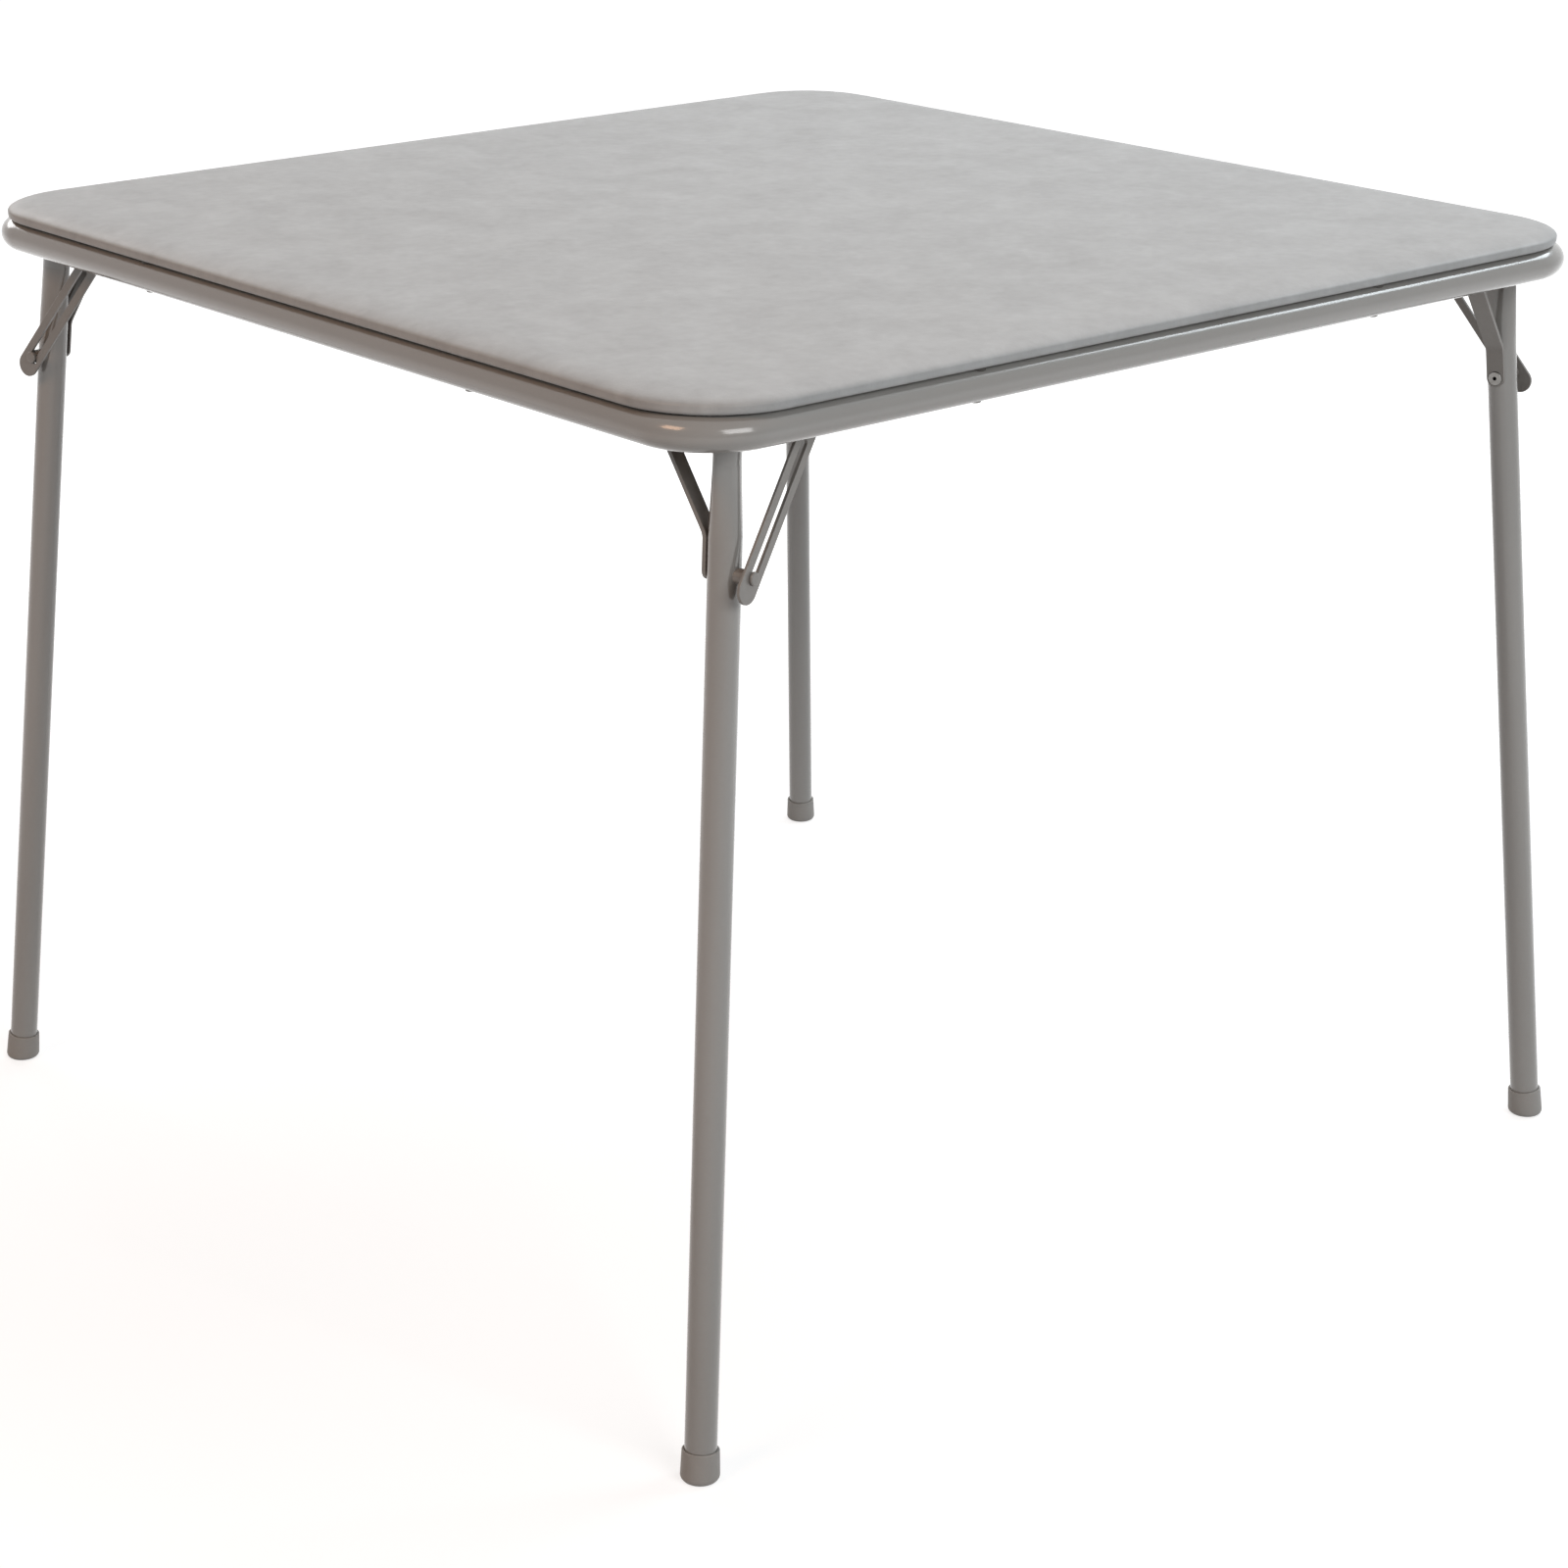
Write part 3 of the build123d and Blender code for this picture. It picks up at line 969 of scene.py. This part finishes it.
class GeometryTree:
    """A Geometry Nodes tree with named inputs, run once to give a plain mesh."""

    def __init__(self, name: str, inputs: dict[str, tuple[str, Any]]) -> None:
        """Starts the tree with its named inputs.

        Args:
            name: the tree's name.
            inputs: each input's socket kind and value.
        """
        self.tree = bpy.data.node_groups.new(name, "GeometryNodeTree")
        self.tree.interface.new_socket(
            "Geometry", in_out="OUTPUT", socket_type="NodeSocketGeometry"
        )
        self.values = {label: value for label, (_, value) in inputs.items()}
        for label, (kind, _) in inputs.items():
            self.tree.interface.new_socket(label, in_out="INPUT", socket_type=kind)
        self.board = NodeBoard(self.tree)
        self.given = self.board.node("NodeGroupInput").outputs

    def rounded_square(self, side: str, radius: str, steps: str) -> bpy.types.NodeSocket:
        """A curve round a square with round corners, level and about the origin.

        Args:
            side, radius, steps: the names of the inputs that give the square's side, and
                its corners' radius and count of points.

        Returns:
            The curve's socket.
        """
        square = self.board.node(
            "GeometryNodeCurvePrimitiveQuadrilateral",
            Width=self.given[side],
            Height=self.given[side],
        )
        rounded = self.board.node(
            "GeometryNodeFilletCurve",
            {"mode": "POLY"},
            Curve=square.outputs[0],
            Count=self.given[steps],
            Radius=self.given[radius],
        )
        return rounded.outputs[0]

    def circle(self, radius: str, steps: str) -> bpy.types.NodeSocket:
        """A round section for a tube or a wire.

        Args:
            radius, steps: the names of the inputs that give its radius and count of points.

        Returns:
            The curve's socket.
        """
        made = self.board.node(
            "GeometryNodeCurvePrimitiveCircle",
            Resolution=self.given[steps],
            Radius=self.given[radius],
        )
        return made.outputs[0]

    def along_z(self, height: Any) -> bpy.types.NodeSocket:
        """A vector straight up, of a length that is a number or a socket."""
        return self.board.node("ShaderNodeCombineXYZ", Z=height).outputs[0]

    def finish(self, geometry: bpy.types.NodeSocket, material: bpy.types.Material) -> None:
        """Ends the tree: instances made real, shaded smooth and given a finish.

        Args:
            geometry: what the tree has made.
            material: its finish.
        """
        real = self.board.node("GeometryNodeRealizeInstances", Geometry=geometry).outputs[0]
        smooth = self.board.node("GeometryNodeSetShadeSmooth", Geometry=real).outputs[0]
        dressed = self.board.node("GeometryNodeSetMaterial", Geometry=smooth, Material=material)
        self.board.node("NodeGroupOutput", Geometry=dressed.outputs[0])

    def run(self, name: str) -> bpy.types.Object:
        """Runs the tree on an empty mesh and keeps the result as a plain mesh.

        Args:
            name: the piece's name.

        Returns:
            The piece, at the origin.
        """
        holder = bpy.data.objects.new(name, bpy.data.meshes.new(name))
        bpy.context.scene.collection.objects.link(holder)
        modifier = holder.modifiers.new("Build", "NODES")
        modifier.node_group = self.tree
        for item in self.tree.interface.items_tree:
            if item.item_type == "SOCKET" and item.in_out == "INPUT" and item.name in self.values:
                modifier[item.identifier] = self.values[item.name]
        evaluated = holder.evaluated_get(bpy.context.evaluated_depsgraph_get())
        mesh = bpy.data.meshes.new_from_object(evaluated)
        holder.modifiers.clear()
        holder.data = mesh
        mesh.name = name
        return holder


@dataclass
class FrameRing:
    """The ring of round tube that carries the panel."""

    finishes: Finishes
    bend_radius: float = 46.0 * MM
    bend_steps: int = 20
    round_steps: int = 40

    def build(self) -> bpy.types.Object:
        """Sweeps the tube round its rounded square.

        Returns:
            The ring.
        """
        low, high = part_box("ring_frame")
        diameter = high.z - low.z
        tree = GeometryTree(
            "bent tube ring",
            {
                "Side": ("NodeSocketFloat", high.x - low.x - diameter),
                "Bend Radius": ("NodeSocketFloat", self.bend_radius),
                "Bend Steps": ("NodeSocketInt", self.bend_steps),
                "Tube Radius": ("NodeSocketFloat", diameter / 2),
                "Round Steps": ("NodeSocketInt", self.round_steps),
                "Height": ("NodeSocketFloat", (low.z + high.z) / 2),
            },
        )
        raised = tree.board.node(
            "GeometryNodeTransform",
            Geometry=tree.rounded_square("Side", "Bend Radius", "Bend Steps"),
            Translation=tree.along_z(tree.given["Height"]),
        )
        tube = tree.board.node(
            "GeometryNodeCurveToMesh",
            Curve=raised.outputs[0],
            Profile_Curve=tree.circle("Tube Radius", "Round Steps"),
        )
        tree.finish(tube.outputs[0], self.finishes.paint)
        piece = tree.run("ring_tube")
        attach(piece, ROOT_BODY)
        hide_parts("ring_frame")
        LOG.info("ring tube: %d faces", len(piece.data.polygons))
        return piece


@dataclass
class HemStaples:
    """The staples that hold the turned vinyl to the board, seen from below."""

    finishes: Finishes
    inset: float = 24.8 * MM
    spacing: float = 46.0 * MM
    crown: float = 9.0 * MM
    wire: float = 0.35 * MM
    wire_sides: int = 6
    bite: float = 0.6
    corner_radius: float = 47.0 * MM
    corner_steps: int = 6
    skew: float = 0.12
    seed: int = 11

    def build(self) -> bpy.types.Object:
        """Sets one staple at each step along the hem.

        Returns:
            Every staple, as one piece.
        """
        low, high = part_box("vinyl_cover")
        tree = GeometryTree(
            "stapled hem",
            {
                "Side": ("NodeSocketFloat", high.x - low.x - 2 * self.inset),
                "Corner Radius": ("NodeSocketFloat", self.corner_radius),
                "Corner Steps": ("NodeSocketInt", self.corner_steps),
                "Spacing": ("NodeSocketFloat", self.spacing),
                "Crown": ("NodeSocketFloat", self.crown),
                "Wire": ("NodeSocketFloat", self.wire),
                "Wire Sides": ("NodeSocketInt", self.wire_sides),
                "Height": ("NodeSocketFloat", low.z - self.wire * self.bite),
                "Seed": ("NodeSocketInt", self.seed),
            },
        )
        board, given = tree.board, tree.given
        places = board.node(
            "GeometryNodeCurveToPoints",
            {"mode": "LENGTH"},
            Curve=tree.rounded_square("Side", "Corner Radius", "Corner Steps"),
            Length=given["Spacing"],
        )
        raised = board.node(
            "GeometryNodeSetPosition",
            Geometry=places.outputs["Points"],
            Offset=tree.along_z(given["Height"]),
        )
        laid = board.node(
            "GeometryNodeInstanceOnPoints",
            Points=raised.outputs[0],
            Instance=self._staple(tree),
            Rotation=places.outputs["Rotation"],
        )
        skew = board.node(
            "FunctionNodeRandomValue", {"data_type": "FLOAT_VECTOR"}, Seed=given["Seed"]
        )
        board.feed(skew, 0, (0.0, -self.skew, 0.0))
        board.feed(skew, 1, (0.0, self.skew, 0.0))
        turned = board.node(
            "GeometryNodeRotateInstances", Instances=laid.outputs[0], Rotation=skew.outputs[0]
        )
        tree.finish(turned.outputs[0], self.finishes.zinc)
        piece = tree.run("hem_staples")
        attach(piece, ROOT_BODY)
        LOG.info("hem staples: %d faces", len(piece.data.polygons))
        return piece

    @staticmethod
    def _staple(tree: GeometryTree) -> bpy.types.NodeSocket:
        """One staple's crown, a straight wire along its own Z.

        Args:
            tree: the tree that lays it.

        Returns:
            The staple's socket.
        """
        half = tree.board.maths("MULTIPLY", tree.given["Crown"], 0.5)
        other = tree.board.maths("MULTIPLY", half, -1.0)
        crown = tree.board.node(
            "GeometryNodeCurvePrimitiveLine", Start=tree.along_z(other), End=tree.along_z(half)
        )
        wire = tree.board.node(
            "GeometryNodeCurveToMesh",
            Curve=crown.outputs[0],
            Profile_Curve=tree.circle("Wire", "Wire Sides"),
            Fill_Caps=True,
        )
        return wire.outputs[0]


@dataclass
class PanelScrews:
    """The screws up through the ring, their heads sunk until they are almost flush."""

    finishes: Finishes
    node: bpy.types.Object
    proud: float = 0.35 * MM

    def build(self) -> bpy.types.Object:
        """Copies the model's screws and draws their heads up into the tube.

        Returns:
            Every screw, as one piece.
        """
        head_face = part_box("panel_screws")[0].z
        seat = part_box("ring_frame")[0].z
        sink = seat - self.proud - head_face
        made = bmesh.new()
        made.from_mesh(self.node.data)
        bmesh.ops.remove_doubles(made, verts=made.verts, dist=TINY)
        for point in made.verts:
            if point.co.z <= seat + TINY:
                point.co.z += sink
        mesh = bpy.data.meshes.new("sunk_screws")
        made.to_mesh(mesh)
        made.free()
        piece = new_piece("sunk_screws", mesh, self.finishes.paint)
        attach(piece, ROOT_BODY)
        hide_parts("panel_screws")
        LOG.info("sunk screws: %d faces", len(mesh.polygons))
        return piece


@dataclass
class CarriedNodes:
    """The model's own nodes that stay, each with its finish."""

    finishes: Finishes
    nodes: dict[str, bpy.types.Object]

    def dress(self) -> None:
        """Gives each node its finish."""
        by_kind = {
            "corner_bracket": self.finishes.brace_paint,
            "hinge_pin": self.finishes.zinc,
            "hinge_spacer": self.finishes.zinc,
            "leg_tube": self.finishes.paint,
            "foot_cap": self.finishes.cap,
            "side_brace": self.finishes.brace_paint,
            "side_brace_rivet": self.finishes.zinc,
            "lock_pin_collar": self.finishes.brace_paint,
            "lock_pin": self.finishes.brace_paint,
            "lock_brace": self.finishes.brace_paint,
            "lock_brace_rivet": self.finishes.zinc,
        }
        chosen = {
            f"{kind}_{corner.label}": material
            for corner in Corner
            for kind, material in by_kind.items()
        }
        chosen["panel_board"] = self.finishes.hardboard
        chosen["panel_spacers"] = self.finishes.washer
        for name, material in chosen.items():
            paint_node(self.nodes[name], material)
        LOG.info("dressed %d of the model's nodes", len(chosen))


@dataclass(frozen=True)
class Lamp:
    """One soft box: where it stands, how large it is and how strongly it shines."""

    name: str
    azimuth: float
    elevation: float
    distance: float
    width: float
    height: float
    watts: float
    colour: Colour = WHITE


@dataclass(frozen=True)
class Studio:
    """The camera at the photograph's angle, the soft light and the pale floor."""

    camera_place: tuple[float, float, float] = (-1.72042, -1.96516, 1.21460)
    yaw: float = 50.587
    pitch: float = 19.529
    roll: float = -0.071
    focal_pixels: float = 3636.25
    frame_pixels: float = 1600.0
    middle_pixels: tuple[float, float] = (672.0, 760.0)
    sensor: float = 36.0
    floor_size: float = 40.0
    target: tuple[float, float, float] = (0.0, 0.0, 0.55)
    lamps: tuple[Lamp, ...] = (
        Lamp(
            "left_box",
            azimuth=-177.0,
            elevation=37.0,
            distance=4.5,
            width=1.6,
            height=1.35,
            watts=42.0,
            colour=(1.0, 0.61, 0.39),
        ),
        Lamp(
            "front_box",
            azimuth=-97.0,
            elevation=26.0,
            distance=5.0,
            width=2.8,
            height=2.0,
            watts=86.0,
        ),
        Lamp(
            "right_box",
            azimuth=-18.0,
            elevation=36.0,
            distance=3.4,
            width=1.6,
            height=0.85,
            watts=27.0,
            colour=(0.86, 0.95, 1.0),
        ),
        Lamp(
            "top_box",
            azimuth=30.0,
            elevation=58.0,
            distance=3.0,
            width=2.4,
            height=2.4,
            watts=34.0,
        ),
        Lamp(
            "back_box",
            azimuth=88.0,
            elevation=22.0,
            distance=5.0,
            width=2.4,
            height=1.2,
            watts=32.0,
        ),
    )
    sky_colour: Colour = (0.95, 0.97, 1.0)
    sky_light: float = 0.1
    floor_light: float = 0.55
    floor_glow: float = 0.74
    white_from: float = 0.75
    white_at: float = 1.6

    def build(self) -> None:
        """Sets the camera, the lamps, the world and the floor."""
        self._camera()
        for lamp in self.lamps:
            self._lamp(lamp)
        self._world()
        self._floor()
        bpy.context.scene.view_settings.view_transform = "Standard"
        LOG.info("studio: %d lamps", len(self.lamps))

    @staticmethod
    def _direction(azimuth: float, elevation: float) -> Vector:
        """A direction of length one.

        Args:
            azimuth: its turn about Z from X, in degrees.
            elevation: its angle above level, in degrees.

        Returns:
            The direction.
        """
        turn, rise = math.radians(azimuth), math.radians(elevation)
        level = math.cos(rise)
        return Vector((math.cos(turn) * level, math.sin(turn) * level, math.sin(rise)))

    def _camera(self) -> None:
        """Places the camera, with the shift that the photograph's framing needs."""
        yaw, roll = math.radians(self.yaw), math.radians(self.roll)
        ahead = self._direction(self.yaw, -self.pitch)
        level = Vector((math.sin(yaw), -math.cos(yaw), 0.0))
        above = level.cross(ahead)
        right = level * math.cos(roll) + above * math.sin(roll)
        up = above * math.cos(roll) - level * math.sin(roll)
        data = bpy.data.cameras.new("camera")
        data.sensor_width = self.sensor
        data.lens = self.focal_pixels / self.frame_pixels * self.sensor
        data.shift_x = (self.frame_pixels / 2 - self.middle_pixels[0]) / self.frame_pixels
        data.shift_y = (self.middle_pixels[1] - self.frame_pixels / 2) / self.frame_pixels
        camera = bpy.data.objects.new("camera", data)
        turn = Matrix((right, up, -ahead)).transposed().to_4x4()
        camera.matrix_world = Matrix.Translation(Vector(self.camera_place)) @ turn
        bpy.context.scene.collection.objects.link(camera)
        bpy.context.scene.camera = camera

    def _lamp(self, lamp: Lamp) -> None:
        """Hangs one soft box, turned to the table.

        Args:
            lamp: the soft box.
        """
        away = self._direction(lamp.azimuth, lamp.elevation)
        data = bpy.data.lights.new(lamp.name, "AREA")
        data.shape = "RECTANGLE"
        data.size, data.size_y = lamp.width, lamp.height
        data.energy = lamp.watts
        data.color = lamp.colour
        box = bpy.data.objects.new(lamp.name, data)
        box.location = Vector(self.target) + away * lamp.distance
        box.rotation_mode = "QUATERNION"
        box.rotation_quaternion = away.to_track_quat("Z", "Y")
        bpy.context.scene.collection.objects.link(box)

    @staticmethod
    def _seen(board: NodeBoard) -> bpy.types.NodeSocket:
        """One for rays from the camera, off a gloss or through glass, and zero for light.

        Args:
            board: the tree that asks.

        Returns:
            The value's socket.
        """
        path = board.node("ShaderNodeLightPath").outputs
        mirrored = board.maths("MAXIMUM", path["Is Glossy Ray"], path["Is Transmission Ray"])
        return board.maths("MAXIMUM", path["Is Camera Ray"], mirrored)

    def _world(self) -> None:
        """A dim even sky for the light, and white where the camera or a gloss sees it."""
        world = bpy.data.worlds.new("studio")
        bpy.context.scene.world = world
        world.use_nodes = True
        board = NodeBoard(world.node_tree)
        seen = self._seen(board)
        light = board.node(
            "ShaderNodeBackground", Color=self.sky_colour, Strength=self.sky_light
        )
        white = board.node("ShaderNodeBackground", Color=WHITE, Strength=1.0)
        mixed = board.node("ShaderNodeMixShader", Fac=seen)
        board.feed(mixed, 1, light.outputs[0])
        board.feed(mixed, 2, white.outputs[0])
        board.node("ShaderNodeOutputWorld", Surface=mixed.outputs[0])

    def _floor(self) -> None:
        """A wide pale floor that keeps the table's shadow."""
        mesh = bpy.data.meshes.new("floor")
        half = self.floor_size / 2
        rim = [(-half, -half, 0.0), (half, -half, 0.0), (half, half, 0.0), (-half, half, 0.0)]
        mesh.from_pydata(rim, [], [(0, 1, 2, 3)])
        floor = bpy.data.objects.new("floor", mesh)
        bpy.context.scene.collection.objects.link(floor)
        material = bpy.data.materials.new("pale floor")
        material.use_nodes = True
        board = NodeBoard(material.node_tree)
        seen = self._seen(board)
        place = board.node("ShaderNodeTexCoord").outputs["Object"]
        away = board.node("ShaderNodeVectorMath", {"operation": "LENGTH"})
        board.feed(away, 0, place)
        glow_share = board.node(
            "ShaderNodeMapRange",
            {"interpolation_type": "SMOOTHSTEP"},
            Value=away.outputs["Value"],
            From_Min=self.white_from,
            From_Max=self.white_at,
            To_Min=self.floor_glow,
            To_Max=1.0,
        ).outputs[0]
        strength = board.maths("MULTIPLY", seen, glow_share)
        matt = board.node("ShaderNodeBsdfDiffuse", Color=(self.floor_light,) * 3)
        glow = board.node("ShaderNodeEmission", Color=WHITE, Strength=strength)
        both = board.node("ShaderNodeAddShader")
        board.feed(both, 0, matt.outputs[0])
        board.feed(both, 1, glow.outputs[0])
        board.node("ShaderNodeOutputMaterial", Surface=both.outputs[0])
        mesh.materials.append(material)


def main() -> None:
    """Dresses the table and sets the studio."""
    logging.basicConfig(level=logging.INFO, format="%(message)s", stream=sys.stdout)
    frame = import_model()
    finishes = Finishes(SharedEffects(), FinishSet())
    CarriedNodes(finishes, frame["nodes"]).dress()
    PaddedTop(finishes).build()
    FrameRing(finishes).build()
    HemStaples(finishes).build()
    PanelScrews(finishes, frame["nodes"]["panel_screws"]).build()
    Studio().build()


if __name__ == "__main__":
    main()
